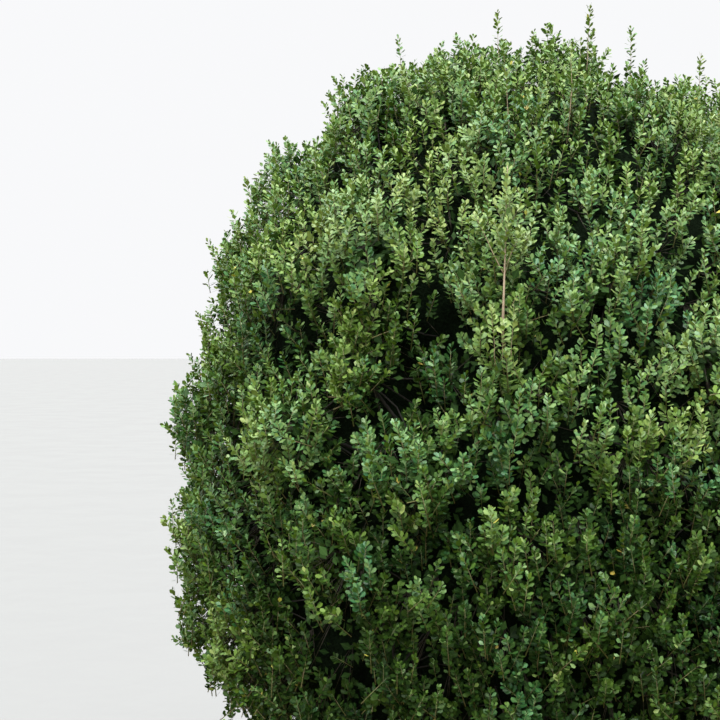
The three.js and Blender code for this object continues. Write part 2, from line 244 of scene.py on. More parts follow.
def spikes(start, end, radius):
    # a thin closed cone of three sides from each start to each end
    along = unit(end - start)
    side = unit(np.cross(along, skew))
    ring = around(side, np.cross(along, side), 3)
    foot = start[:, None, :] + ring * np.broadcast_to(radius, len(start))[:, None, None]
    points = np.concatenate([foot, end[:, None, :]], 1)
    faces = np.array([[0, 1, 3], [1, 2, 3], [2, 0, 3], [0, 2, 1]])
    return points.reshape(-1, 3), copies(faces, len(start), 4)


def placed(root, size, shape, *axes):
    # every point of a shape at every root: root + size * (x * first axis + y * second axis + ...)
    total = sum(shape[..., k:k + 1] * axis[:, None, :] for k, axis in enumerate(axes))
    return (root[:, None, :] + size * total).reshape(-1, 3)


def joined(parts):
    # several (points, faces) pairs as one
    shift = np.cumsum([0] + [len(p) for p, _ in parts[:-1]])
    return np.concatenate([p for p, _ in parts]), np.concatenate([f + s for (_, f), s in zip(parts, shift)])


# material helpers

def newMaterial(name):
    material = bpy.data.materials.new(name)
    material.use_nodes = True
    return material, material.node_tree, material.node_tree.nodes["Principled BSDF"]


def node(tree, kind, **values):
    # values are the node's own settings or its inputs, with _ for a blank
    made = tree.nodes.new("ShaderNode" + kind)
    for key, value in values.items():
        if hasattr(made, key):
            setattr(made, key, value)
        else:
            made.inputs[key.replace("_", " ")].default_value = value
    return made


def mixNode(tree, **values):
    return node(tree, "Mix", data_type="RGBA", **values)


def overColour(material, colour, **values):
    # a mix with a second colour, put between a material's own colour and its shader
    tree = material.node_tree
    base = tree.nodes["Principled BSDF"].inputs["Base Color"]
    mix = mixNode(tree, **values)
    mix.inputs["B"].default_value = (*colour, 1)
    tree.links.new(base.links[0].from_socket, mix.inputs["A"])
    tree.links.new(mix.outputs["Result"], base)
    return tree, mix


def ramp(tree, start, end, low=0, high=1):
    # from low to high as the value goes from start to end
    return node(tree, "MapRange", From_Min=start, From_Max=end, To_Min=low, To_Max=high)


def wire(tree, *rows):
    # each row is a source, its output, a target and its input
    for source, output, target, entry in rows:
        tree.links.new(source.outputs[output], target.inputs[entry])


def newGroup(name, entries, outputs):
    # a node group with sockets of a name, a kind and perhaps a value
    tree = bpy.data.node_groups.new(name, "ShaderNodeTree")
    for inOut, rows in (("INPUT", entries), ("OUTPUT", outputs)):
        for title, kind, *value in rows:
            made = tree.interface.new_socket(name=title, socket_type="NodeSocket" + kind, in_out=inOut)
            if value:
                made.default_value = value[0]
    return tree, tree.nodes.new("NodeGroupInput"), tree.nodes.new("NodeGroupOutput")


def useGroup(tree, group, **values):
    made = node(tree, "Group", node_tree=group)
    for key, value in values.items():
        made.inputs[key].default_value = (*value, 1) if made.inputs[key].type == "RGBA" else value
    return made


def blotchGroup():
    # two scales of noise on Object coordinates mix three colours and give a height and a mask
    tree, start, end = newGroup(
        "blotches",
        [
            ("Main", "Color"), ("Dark", "Color"), ("Pale", "Color"),
            ("Coarse", "Float", 20.0), ("Fine", "Float", 180.0), ("Stretch", "Vector", (1, 1, 1)),
        ],
        [("Colour", "Color"), ("Height", "Float"), ("Mask", "Float")],
    )
    place = node(tree, "TexCoord")
    scaled = node(tree, "VectorMath", operation="MULTIPLY")
    coarse = node(tree, "TexNoise", Detail=4.0, Roughness=0.6)
    fine = node(tree, "TexNoise", Detail=6.0, Roughness=0.65)
    darkRamp = ramp(tree, 0.42, 0.62)
    paleRamp = ramp(tree, 0.5, 0.68)
    darkMix, paleMix = mixNode(tree), mixNode(tree)
    height = node(tree, "Math", operation="ADD")
    wire(
        tree, (place, "Object", scaled, 0), (start, "Stretch", scaled, 1),
        (scaled, 0, coarse, "Vector"), (start, "Coarse", coarse, "Scale"),
        (scaled, 0, fine, "Vector"), (start, "Fine", fine, "Scale"),
        (coarse, "Fac", darkRamp, "Value"), (fine, "Fac", paleRamp, "Value"),
        (darkRamp, 0, darkMix, "Factor"), (start, "Main", darkMix, "A"), (start, "Dark", darkMix, "B"),
        (paleRamp, 0, paleMix, "Factor"), (darkMix, "Result", paleMix, "A"), (start, "Pale", paleMix, "B"),
        (coarse, "Fac", height, 0), (fine, "Fac", height, 1),
        (paleMix, "Result", end, "Colour"), (height, 0, end, "Height"), (darkRamp, 0, end, "Mask"),
    )
    return tree


def leafGroup():
    # each leaf's own shade goes from dark to main, and its middle rib is paler
    tree, start, end = newGroup(
        "leafBlade", [("Main", "Color"), ("Dark", "Color"), ("Rib", "Color")],
        [("Colour", "Color"), ("Gloss", "Float")],
    )
    shade = node(tree, "Attribute", attribute_name="leafShade")
    surface = node(tree, "UVMap", uv_map="surface")
    parts = node(tree, "SeparateXYZ")
    offMiddle = node(tree, "Math", operation="SUBTRACT")
    offMiddle.inputs[1].default_value = 0.5
    size = node(tree, "Math", operation="ABSOLUTE")
    rib = ramp(tree, 0, 0.09, 0.55, 0)
    shadeMix, ribMix = mixNode(tree), mixNode(tree)
    gloss = ramp(tree, 0, 1, 0.3, 0.5)
    wire(
        tree, (surface, 0, parts, 0), (parts, "Y", offMiddle, 0), (offMiddle, 0, size, 0),
        (size, 0, rib, "Value"),
        (shade, "Fac", shadeMix, "Factor"), (start, "Dark", shadeMix, "A"), (start, "Main", shadeMix, "B"),
        (rib, 0, ribMix, "Factor"), (shadeMix, "Result", ribMix, "A"), (start, "Rib", ribMix, "B"),
        (shade, "Fac", gloss, "Value"), (ribMix, "Result", end, "Colour"), (gloss, 0, end, "Gloss"),
    )
    return tree


blotches, leafBlade = blotchGroup(), leafGroup()


def earthy(name, main, dark, pale, coarse, fine, rough, bump, depth, stretch=(1, 1, 1)):
    # a rough natural surface: three colours in blotches, with roughness and bump to match
    material, tree, shader = newMaterial(name)
    group = useGroup(
        tree, blotches, Main=main, Dark=dark, Pale=pale, Coarse=coarse, Fine=fine, Stretch=stretch,
    )
    roughness = ramp(tree, 0, 1, *rough)
    relief = node(tree, "Bump", Strength=bump, Distance=depth)
    wire(
        tree, (group, "Colour", shader, "Base Color"), (group, "Mask", roughness, "Value"),
        (roughness, 0, shader, "Roughness"), (group, "Height", relief, "Height"),
        (relief, 0, shader, "Normal"),
    )
    return material


def leafMaterial(name, main, dark, rib, shine):
    # the blade's colour and gloss, with a paler and yellower underside
    material, tree, shader = newMaterial(name)
    group = useGroup(tree, leafBlade, Main=main, Dark=dark, Rib=rib)
    under = mixNode(tree)
    under.inputs["B"].default_value = (*np.add(main, leaf["underLift"]), 1)
    seen = node(tree, "NewGeometry")
    wire(
        tree, (seen, "Backfacing", under, "Factor"), (group, "Colour", under, "A"),
        (under, "Result", shader, "Base Color"), (group, "Gloss", shader, "Roughness"),
    )
    shader.inputs["Specular IOR Level"].default_value = shine
    return material


# camera, light and floor

view = dict(
    place=(-0.451, -4.1, 1.853), lens=75, sensor=36, pitch=-0.57,
    skyColour=(0.86, 0.96, 1.02), skyStrength=0.46, backdropColour=(0.98, 0.985, 1.0), backdrop=0.96,
    # each soft light: its place, how wide it looks in degrees, and its strength
    lights=dict(softTop=((0.1, -2.0, 6.4), 76, 8.0), softLeft=((-4.5, -3.5, 5.0), 110, 1.0)),
)
ground = dict(
    size=400, colour=(0.25, 0.25, 0.245), bounce=(0.54, 0.48, 0.15), darker=0.99, paler=1.01,
    paint=dict(coarse=1.2, fine=30, rough=(0.75, 0.85), bump=0.1, depth=0.001),
)


def makeStage():
    scene = bpy.context.scene
    camera = addObject("camera", bpy.data.cameras.new("camera"))
    camera.data.lens = view["lens"]
    camera.data.sensor_width = view["sensor"]
    camera.location = view["place"]
    camera.rotation_euler = (math.radians(90 + view["pitch"]), 0, 0)
    scene.camera = camera

    # the sky that lights the plant is dimmer and bluer than the backdrop
    world = bpy.data.worlds.new("softSky")
    world.use_nodes = True
    tree = world.node_tree
    sky = tree.nodes["Background"]
    seen = node(tree, "LightPath")
    tint = mixNode(tree)
    tint.inputs["A"].default_value = (*view["backdropColour"], 1)
    tint.inputs["B"].default_value = (*view["skyColour"], 1)
    strength = ramp(tree, 0, 1, view["backdrop"], view["skyStrength"])
    wire(
        tree, (seen, "Is Diffuse Ray", tint, "Factor"), (tint, "Result", sky, "Color"),
        (seen, "Is Diffuse Ray", strength, "Value"), (strength, 0, sky, "Strength"),
    )
    scene.world = world

    # a very soft light from high above the front, and a weak one from the left
    for name, (place, softness, energy) in view["lights"].items():
        lamp = addObject(name, bpy.data.lights.new(name, "SUN"))
        lamp.data.angle = math.radians(softness)
        lamp.data.energy = energy
        lamp.location = place
        aim = Vector(heart) - lamp.location
        lamp.rotation_euler = aim.to_track_quat("-Z", "Y").to_euler()

    half = ground["size"] / 2
    corners = np.array([[-half, -half, 0], [half, -half, 0], [half, half, 0], [-half, half, 0]])
    dark, pale = ([gain * c for c in ground["colour"]] for gain in (ground["darker"], ground["paler"]))
    paint = earthy("paleFloor", ground["colour"], dark, pale, **ground["paint"])
    # the floor looks pale, but the light it throws back up is weaker and tinted
    tree, bounce = overColour(paint, ground["bounce"], blend_type="MULTIPLY")
    seen, share = node(tree, "LightPath"), ramp(tree, 0, 1, 1, 0)
    wire(tree, (seen, "Is Camera Ray", share, "Value"), (share, 0, bounce, "Factor"))
    addMesh("floor", corners, np.array([[0, 1, 2, 3]]), paint)
    scene.view_settings.view_transform = "Standard"


makeStage()
print("stage ready")


# masses and lobes, by the rule of the solids

rings = [   # name, how many masses, how far up they and their stems point, and the ring's turn
    ("skirt", 7, -36, 6, 0.1), ("belly", 7, 2, 20, 0.6), ("shoulder", 7, 38, 45, 0.1),
    ("upper", 4, 65, 64, 0.4), ("top", 1, 90, 88, 0),
]
mass = dict(depth=0.6, inner=0.16, stub=0.04, turnJitter=0.1, upJitter=3)
lobe = dict(
    count=131, size=0.16, sizeSpread=0.024, reachSpread=0.024, turnSpread=0.1, apart=1.2, hollowShare=0.3,
    lowest=-62,
)

# Tables of the front in degrees and millimetres: right, up, size, and how far a lobe stands proud
proudLobes = [
    (-34, 39, 185, 34), (-31, 27, 130, 20), (-42, 12, 150, 42), (-31, 19, 92, 16), (-20, 6, 150, 20),
    (-9, 32, 165, 26), (8, 33, 165, 10), (-77, 12, 150, 22), (-76, 38, 150, -12), (-70, -9, 165, 18),
    (-64, -27, 150, 14), (-60, 64, 140, 36), (-60, 80, 170, 16), (40, 83, 165, 16), (78, 67, 165, 26),
]
# the dark hollows between them, and how deep each is
hollows = [
    (-24, 19, 105, 90), (-31, 9, 70, 60), (-19, 33, 60, 50), (-20, 46, 85, 60), (8, 50, 85, 60),
    (-2, 20, 60, 40), (70, 75, 75, 60),
]
# the same for finer crevices, then for tufts that stand out and catch the light
crevices = [
    (-36, 10, 55, 105), (-25, 17, 70, 100), (-34, 26, 62, 70), (-28, 25, 55, 60), (-41, 25, 50, 30),
    (-21, 29, 54, 85), (-20, 25, 50, 55), (-39, 15, 55, 50), (-4, 22, 50, 60), (-33, -25, 70, 105),
    (-36, -20, 65, 95), (-57, -28, 50, 55), (2, -23, 56, 55), (-45, 26, 50, 65), (12, -6, 50, 55),
    (-20, -5, 55, 60), (-14, -19, 52, 55), (12, 1, 45, 55), (-13, 47, 50, 55), (-4, 27, 50, 55),
    (9, -21, 50, 55), (-36, 2, 45, 40), (-3, 8, 45, 40), (-10, 29.5, 50, 50), (-44, -6, 45, 50),
    (-31, -4, 45, 55), (-12, 56, 45, 45), (2, 55, 48, 45), (9, 51, 50, 35), (4, 41, 42, 45), (-2, 47, 45, 45),
    (-39, -16, 92, 85), (-46, -12, 65, 75), (100, 72, 130, 40), (52, 70, 120, 35), (138, 70, 110, 40),
    (-26.5, -10, 40, 55),
]
tufts = [
    (-22, -10, 75, 40), (-10, 21, 60, 15), (19, 3, 70, 30), (-8, 39, 65, 30), (18, 26, 70, 30),
    (-16, -9, 60, 30), (-9, -16, 65, 30), (-5, -3, 65, 35), (14, -17, 70, 30), (24, 40, 70, 30),
    (16, 14, 70, 30), (8, 36, 70, 30), (0, 17, 65, 30), (-18, 10, 65, 35), (11, 19, 65, 30), (3, 11, 65, 30),
    (-37, 40, 120, 28), (-42, 9, 110, 10), (-34, 20, 70, 15), (-29, 9, 50, 30), (-20, 47, 85, 40),
    (24, 38, 80, 30), (-80, 44, 170, 42), (-72, 68, 90, 55), (-13, 4, 60, 45), (-86, 40, 100, 30),
    (-32, -9, 55, 35), (-15, 27, 55, 30), (1, 26, 55, 28), (7, 21, 55, 28), (12, 16, 55, 22), (2, 37, 55, 30),
]
# the spiral of smaller ones over the rest, which leaves out the listed part of the front
small = dict(
    count=150, size=0.05, sizeSpread=0.4, depth=0.045, leastDepth=0.6, pitShare=0.6, turnSpread=0.5, sink=0.6,
    frontLeft=-100, frontRight=36, frontLow=-40, lowest=-58,
)


def makeMasses():
    # each ring's masses at equal turns with a small jitter, as the solids have them
    made = []
    for number, (ring, count, ringUp, stemUp, turn) in enumerate(rings):
        loose = 1 if count > 1 else 0
        for k in range(count):
            seed = 20 * number + k
            right = (k + turn + mass["turnJitter"] * loose * spread(seed, 1)) * (360 / count)
            out = direction(right, ringUp + mass["upJitter"] * loose * spread(seed, 2))
            stem = direction(right, stemUp)
            centre = heart + out * mass["depth"] * crownReach(out)
            foot = centre - stem * (mass["inner"] + mass["stub"])
            name = f"{ring}_{k + 1}" if loose else ring
            made.append(dict(name=name, right=right, centre=centre, stem=stem, foot=foot))
    return made


def places(rows):
    # the ways outward, sizes and amounts of a table's rows
    right, above, size, amount = np.array(rows).T
    return direction(right, above), size / 1000, amount / 1000


def reliefPlaces():
    # the crevices and tufts of the front, as listed, and a spiral of smaller ones over the rest
    out, size, lift = places([(*row[:3], -row[3]) for row in crevices] + tufts)
    k = np.arange(small["count"])
    above = np.degrees(np.arcsin(1 - (2 * k + 1) / small["count"]))
    right = (np.degrees(k * golden + small["turnSpread"] * spread(k, 5)) + 180) % 360 - 180
    front = (right > small["frontLeft"]) & (right < small["frontRight"]) & (above > small["frontLow"])
    k, right, above = (v[~front & (above > small["lowest"])] for v in (k, right, above))
    smallSize = small["size"] * (1 + small["sizeSpread"] * chance(k, 7))
    smallLift = small["depth"] * (small["leastDepth"] + chance(k, 8))
    smallLift[chance(k, 6) <= small["pitShare"]] *= -1
    out = np.concatenate([out, direction(right, above)])
    centres = behindTips(out, crown["eggDepth"] * small["sink"])
    return centres, np.concatenate([size, smallSize]), np.concatenate([lift, smallLift])


def reliefAt(points):
    # sum of the soft bumps and pits at each point, in metres outward
    total = np.zeros(len(points))
    for centre, size, lift in zip(*reliefs):
        total += lift * np.exp(-((points - centre) ** 2).sum(1) / size ** 2)
    return total


def makeLobes():
    # the listed lobes, and a spiral of others wherever one has room
    outs, sizes, proud = places(proudLobes)
    centres = list(heart + outs * (crownReach(outs) + proud - sizes)[:, None])
    outs, sizes = list(outs), list(sizes)
    for k in range(lobe["count"]):
        turn = k * golden + lobe["turnSpread"] * spread(k, 3)
        out = unit(downBall(k, lobe["count"], turn, crown["radius"], crown["rise"], crown["drop"]))
        size = lobe["size"] + lobe["sizeSpread"] * spread(k, 4)
        centre = heart + out * (crownReach(out) + lobe["reachSpread"] * spread(k, 5) - size)
        gaps = np.linalg.norm(np.array(centres) - centre, axis=1)
        crowded = (gaps < lobe["apart"] * (np.array(sizes) + size) * 0.5).any()
        gaps = np.linalg.norm(hollowCentres - centre, axis=1)
        hollow = (gaps < hollowSizes + lobe["hollowShare"] * size).any()
        if not crowded and not hollow and out[2] > math.sin(math.radians(lobe["lowest"])):
            centres.append(centre)
            sizes.append(size)
            outs.append(out)
    return np.array(centres), np.array(sizes), np.array(outs)


hollowOuts, hollowSizes, hollowDepths = places(hollows)
hollowCentres = behindTips(hollowOuts, lobe["size"])
reliefs = reliefPlaces()
masses = makeMasses()
lobeCentres, lobeSizes, lobeOuts = makeLobes()
foliageNodes = ["foliage_" + m["name"] for m in masses]
boughNodes = ["bough_" + m["name"] for m in masses]
print("crown laid out:", len(masses), "masses,", len(lobeSizes), "lobes")


# the foliage's outer surface

surface = dict(
    fewest=12, eggShare=1.02, lobeTurn=1.7,
    lobeSink=-0.012, eggSink=-0.01,   # how far a point may lie inside a lobe or the egg
    below=3, potRadius=0.45, potHeight=0.66,
)


def eggLevel(points):
    # height of points over the foliage between the lobes, which dips at the hollows
    away = points - heart
    gap = np.linalg.norm(away, axis=1)
    square = ((points[:, None, :] - hollowCentres[None]) ** 2).sum(2)
    dips = (hollowDepths * np.exp(-square / hollowSizes ** 2)).sum(1)
    return gap - (crownReach(away / gap[:, None]) - crown["eggDepth"] - dips)


def scatter(spacing, seed):
    # points about so far apart on the lobes and on the egg between them, with their ways outward, but none
    # inside another lobe, behind the egg, under the crown or over the pot
    counts = np.maximum(surface["fewest"], 4 * math.pi * lobeSizes ** 2 / spacing ** 2).astype(int)
    owner, k = sharedOut(counts)
    out = downBall(k, counts[owner], k * golden + owner * surface["lobeTurn"] + seed)
    points = lobeCentres[owner] + out * lobeSizes[owner][:, None]

    eggCount = int(4 * math.pi * crown["radius"] ** 2 * surface["eggShare"] / spacing ** 2)
    j = np.arange(eggCount)
    way = unit(downBall(j, eggCount, j * golden + seed, crown["radius"], crown["rise"], crown["drop"]))
    start = behindTips(way, 0)
    eggPoints = start - way * eggLevel(start)[:, None]

    pairs = (points, eggPoints), (out, way), (owner, np.full(eggCount, -1))
    points, out, owner = (np.concatenate(pair) for pair in pairs)
    gaps = np.sqrt(((points[:, None, :] - lobeCentres[None]) ** 2).sum(2)) - lobeSizes
    gaps[np.arange(len(points)), owner] += np.where(owner >= 0, 1.0, 0.0)   # its own lobe doesn't count
    shown = (gaps > surface["lobeSink"]).all(1) & (eggLevel(points) > surface["eggSink"])
    fromHeart = unit(points - heart)
    shown &= fromHeart[:, 2] > math.sin(math.radians(lobe["lowest"] - surface["below"]))
    overPot = np.hypot(points[:, 0], points[:, 1]) < surface["potRadius"]
    shown &= ~(overPot & (points[:, 2] < surface["potHeight"]))
    return points[shown], out[shown]


# sprays and shoots

spray = dict(
    spacing=0.112, jitter=0.014, waves=0.016, waveSize=0.3, domeDrop=0.054, domeSize=0.066, domeEdge=1.3,
    flatten=0.7, fan=0.42, fanEdge=1.5,
)
# a spray's tone, higher for paler leaves: by chance, and with painted light and shade by height, relief and depth
# (paler higher up and on the tufts, darker in the crevices and further in), the last two within limits
look = dict(
    middle=0.5, spread=0.28, waves=0.2, waveSize=0.42, height=0.48, relief=7, reliefLimits=(-0.04, 0.035),
    depth=5, depthFrom=0.03, depthLimits=(-0.035, 0.05), hueSpread=0.26, hueWaves=0.2, hueSize=0.35,
)
shoot = dict(
    spacing=0.0395, length=0.078, lengthSpread=0.022, outward=0.42, upward=0.74, loose=0.38, bare=0.1,
    tipLoose=0.011, dropLoose=0.012, leastOutward=0.1, leafStep=0.0032, towardTip=0.8,
    clearBelow=-0.056, clearLoose=0.01, clearSize=0.05,   # no shoot grows where the relief is deeper
)
tall = dict(
    share=0.25, length=0.115, lengthSpread=0.25, proud=0.026, proudSpread=0.5, upward=0.9, outward=0.62,
    loose=0.2, tipLoose=0.02, bare=0.05,
)

# right, up and size of the parts painted paler where lobes are lit or darker where they are shaded, and by how
# many thousandths
paintedLightAndShade = [
    (-37, 40, 170, 850), (-41, 9, 160, 550), (-34, 19, 80, 150), (-9, 38, 120, 400), (8, 38, 150, 420),
    (20, 22, 220, 50), (-38, -24, 220, -600), (-20, -12, 160, -160), (-45, 22, 80, -100), (-28, 22, 80, -250),
    (12, -4, 180, -280), (-34, 27, 70, -500), (-20, 28, 60, -200), (-2, 22, 100, -150), (20, 48, 250, 220),
    (2, 43, 140, 300), (38, 52, 250, 200), (-21, 48, 160, 350), (-50, 44, 120, 200), (-60, -20, 130, 500),
    (-37, -17, 150, -500), (-48, -13, 100, -650), (-26, -5, 120, -200), (-7, -3, 100, -300),
    (-39, 16, 80, -700), (-18, 10, 70, -150), (24, 39, 120, 400), (-22, -10, 70, 550), (-9, 26, 50, 300),
    (18, 26, 60, 200), (-16, -9, 50, 300), (16, 14, 60, 250), (11, 19, 70, 300), (19, 3, 60, 200),
    (-9, 8, 90, -150), (-57, 0, 120, 150), (-14, 43, 140, 450), (-44, 33, 80, -400), (-15, 27, 80, 500),
    (18, 17, 100, 400), (-62, -17, 100, 400), (1, 26, 60, 350), (7, 21, 70, 350), (-20, 21, 50, 300),
    (-9, 1, 50, 300), (-20, 1, 60, -600), (11, 5, 70, -200), (-32, -8, 60, 600), (-27, -11, 45, -400),
    (-40, -15, 90, -700), (-34, -19, 90, -600), (-30, 1, 50, -200),
]
# single long shoots: right and up in degrees, depth of the foot and length in metres, lean to the right and
# to the back, and the bare share of the stem
leaders = [
    (46, 79.6, 0.05, 0.135, 0.05, 0.05, 0.1), (-31, 81.6, 0.05, 0.11, -0.03, 0.05, 0.1),
    (61, 74.5, 0.07, 0.125, 0.02, 0.05, 0.1), (66, 65, 0.05, 0.115, 0.06, 0.05, 0.1),
    (-9.2, 23.8, 0.004, 0.35, 0.045, 0.16, 0.31), (-8, 20, 0, 0.105, 0.05, 0.05, 0.02),
    (-10, 56, 0.05, 0.12, -0.05, 0.1, 0.1), (5, 60, 0.05, 0.13, 0.03, 0.1, 0.2),
    (-62, 70, 0.05, 0.11, -0.1, 0, 0.1), (-10.2, 20.3, -0.006, 0.095, -0.05, 0.02, 0.02),
    (-9.1, 20, -0.014, 0.07, 0.02, -0.05, 0.02),
]
# the same for the side shoots of the longest, which start on its stem
sideShoots = [
    (-9.05, 29.6, -0.011, 0.15, -0.5, 0.1, 0.6), (-9.05, 29.6, -0.011, 0.095, 0.32, 0.12, 0.5),
    (-9.05, 30.5, -0.014, 0.085, 0.5, 0.02, 0.2), (-9.02, 31.7, -0.018, 0.08, -0.32, 0.02, 0.15),
    (-9, 32.6, -0.022, 0.07, 0.1, -0.28, 0.1), (-8.97, 33.8, -0.028, 0.075, 0.45, 0.06, 0.15),
    (-8.95, 34.7, -0.032, 0.07, -0.45, 0.08, 0.15), (-8.92, 35.8, -0.039, 0.06, -0.05, -0.25, 0.1),
    (-8.9, 36.3, -0.041, 0.06, 0.35, 0.1, 0.15),
]
singleShoots = leaders + sideShoots

sprayPoints, sprayOuts = scatter(spray["spacing"], 0.4)
sprayIds = np.arange(len(sprayPoints))
sprayLift = spray["jitter"] * spread(sprayIds, 21)
sprayLift += spray["waves"] * softNoise(sprayPoints, spray["waveSize"], 27)
sprayHue = look["hueSpread"] * spread(sprayIds, 35)
sprayHue += look["hueWaves"] * softNoise(sprayPoints, look["hueSize"], 36)
sprayDepth = crownReach(unit(sprayPoints - heart)) - np.linalg.norm(sprayPoints - heart, axis=1)
sprayToneAndPaintedLight = look["middle"] + look["spread"] * spread(sprayIds, 22)
sprayToneAndPaintedLight += look["waves"] * softNoise(sprayPoints, look["waveSize"], 31)
# painted light and shade: paler higher up and on the tufts, darker in the crevices and further into the crown
sprayToneAndPaintedLight += look["height"] * (sprayPoints[:, 2] - crown["middle"])
sprayToneAndPaintedLight += look["relief"] * np.clip(reliefAt(sprayPoints), *look["reliefLimits"])
sprayToneAndPaintedLight -= look["depth"] * np.clip(sprayDepth - look["depthFrom"], *look["depthLimits"])
# painted light and shade: the listed patches, paler on lit lobes and darker in their shadows
for out, size, gain in zip(*places(paintedLightAndShade)):
    away = sprayPoints - behindTips(out, 0)
    sprayToneAndPaintedLight += gain * np.exp(-(away ** 2).sum(1) / size ** 2)


def makeShoots():
    # No shoot grows in the deep crevices or faces into the crown. The tips of a spray's short shoots form a
    # dome, and their axes lean outward, upward and away from its middle.
    tips, outs = scatter(shoot["spacing"], 1.3)
    clearing = shoot["clearBelow"] + shoot["clearLoose"] * softNoise(tips, shoot["clearSize"], 37)
    outward = (outs * unit(tips - heart)).sum(-1)
    grows = (reliefAt(tips) >= clearing) & (outward >= shoot["leastOutward"])
    tips, outs = tips[grows], outs[grows]
    ids = np.arange(len(tips))
    tips = tips + shoot["tipLoose"] * spread3(ids, 41)
    squash = np.array([1, 1, spray["flatten"]])
    owner, gap = nearest(tips * squash, sprayPoints * squash)
    reach = np.minimum(gap / spray["domeSize"], spray["domeEdge"])
    drop = sprayLift[owner] - spray["domeDrop"] * reach ** 2 + shoot["dropLoose"] * spread(ids, 44)
    tips = tips + outs * drop[:, None] + unit(tips - heart) * reliefAt(tips)[:, None]
    fan = (tips - sprayPoints[owner]) / spray["domeSize"]
    fan = np.clip(fan - outs * (fan * outs).sum(-1, keepdims=True), -spray["fanEdge"], spray["fanEdge"])
    axis = outs * shoot["outward"] + up * shoot["upward"] + spray["fan"] * fan
    axis += shoot["loose"] * spread3(ids, 45)
    length = shoot["length"] + shoot["lengthSpread"] * spread(ids, 48)

    # a few sprays send up a longer one
    few = np.flatnonzero(chance(sprayIds, 23) < tall["share"])
    loose = spread3(few, 24)
    longAxis = sprayOuts[few] * tall["outward"] + up * tall["upward"] + tall["loose"] * loose
    longLength = tall["length"] * (1 + tall["lengthSpread"] * spread(few, 28))
    proud = tall["proud"] * (1 + tall["proudSpread"] * spread(few, 29))
    lift = (reliefAt(sprayPoints[few]) + sprayLift[few] + proud)[:, None]
    longTips = sprayPoints[few] + tall["tipLoose"] * loose + sprayOuts[few] * lift

    rows = np.array(singleShoots)
    out = direction(rows[:, 0], rows[:, 1])
    foot = behindTips(out, rows[:, 2])
    leanAxis = unit(np.stack([rows[:, 4], rows[:, 5], np.ones(len(rows))], -1))
    leaderOwner, _ = nearest(foot, sprayPoints)
    return dict(
        tip=np.concatenate([tips, longTips, foot + leanAxis * rows[:, 3:4]]),
        axis=np.concatenate([unit(axis), unit(longAxis), leanAxis]),
        out=np.concatenate([outs, sprayOuts[few], out]),
        length=np.concatenate([length, longLength, rows[:, 3]]),
        owner=np.concatenate([owner, few, leaderOwner]),
        bare=np.concatenate([np.full(len(tips), shoot["bare"]), np.full(len(few), tall["bare"]), rows[:, 6]]),
        edge=np.concatenate([reach, np.zeros(len(few) + len(rows))]),
    )


shoots = makeShoots()
crowd = len(shoots["tip"]) - len(singleShoots)   # the single shoots come last
print("shoots:", len(shoots["tip"]), "sprays:", len(sprayPoints))


# leaves

leaf = dict(
    length=0.0162, lengthSpread=0.24, shootSpread=0.12, profile=(0.86, 0.5, -0.75),
    # five points: widest past the middle and blunt, with edges and tip bent down
    outline=[
        (0, 0, 0), (0.56, 0.315, -0.09), (0.95, 0.155, -0.11), (0.95, -0.155, -0.11), (0.56, -0.315, -0.09),
    ],
    triangles=[(0, 4, 3), (0, 3, 2), (0, 2, 1)],
    angles=(66, 26), leanPower=1.3, leanLoose=19, anyTurn=6.283, turnLoose=0.7,
    axisTurn=0.7, upTurn=0.5, outTurn=0.8, faceLoose=0.62, inset=0.006, stalk=0.002,
    underLift=(0.022, 0.036, 0.008),
)
# a leaf's tone, by which it gets its material, and its shade within that; edge is painted shade toward the edge
# of each spray
leafTone = dict(
    spray=0.6, tip=0.38, tipPower=1.5, spread=0.16, paleShare=0.075, pale=0.75, edge=-0.28, single=0.25,
    shade=0.5, shadeSpread=0.32,
)
tints = [   # share of the leaves, main colour, dark colour, rib colour and shine
    ("leavesShade", 0.17, (0.024, 0.054, 0.006), (0.007, 0.026, 0.006), (0.05, 0.1, 0.025), 0.14),
    ("leavesDeep", 0.21, (0.043, 0.088, 0.008), (0.012, 0.046, 0.009), (0.08, 0.15, 0.035), 0.18),
    ("leavesMid", 0.22, (0.081, 0.146, 0.012), (0.018, 0.078, 0.021), (0.12, 0.2, 0.05), 0.25),
    ("leavesLight", 0.2, (0.138, 0.228, 0.039), (0.033, 0.126, 0.05), (0.18, 0.28, 0.07), 0.3),
    ("leavesBright", 0.14, (0.196, 0.287, 0.068), (0.069, 0.192, 0.078), (0.24, 0.34, 0.1), 0.36),
    ("leavesFresh", 0.06, (0.236, 0.303, 0.08), (0.13, 0.252, 0.096), (0.32, 0.42, 0.15), 0.39),
]
oldLeaves = dict(share=0.0018, colours=((0.5, 0.48, 0.08), (0.4, 0.3, 0.05), (0.55, 0.5, 0.25), 0.4))


def addLeaves(name, colours, kind, root, along, face, length, shade):
    # every leaf of a kind is the same outline: root + length * (along * x + across * y + face * z).
    # Its map is x, and y from 0 to 1.
    shape, triangles = np.array(kind["outline"]), np.array(kind["triangles"])
    across = unit(np.cross(face, along))
    points = placed(root, length[:, None, None], shape, along, across, np.cross(along, across))
    flatMap = np.stack([shape[:, 0], 0.5 + shape[:, 1] / (2 * shape[:, 1].max())], -1)
    uv = np.broadcast_to(flatMap[triangles], (len(root), len(triangles), 3, 2))
    faces, shade = copies(triangles, len(root), len(shape)), np.repeat(shade, len(shape))
    piece = addMesh(name, points, faces, leafMaterial(name, *colours), True, shade, uv)
    keep(piece, "foliage", *foliageNodes)


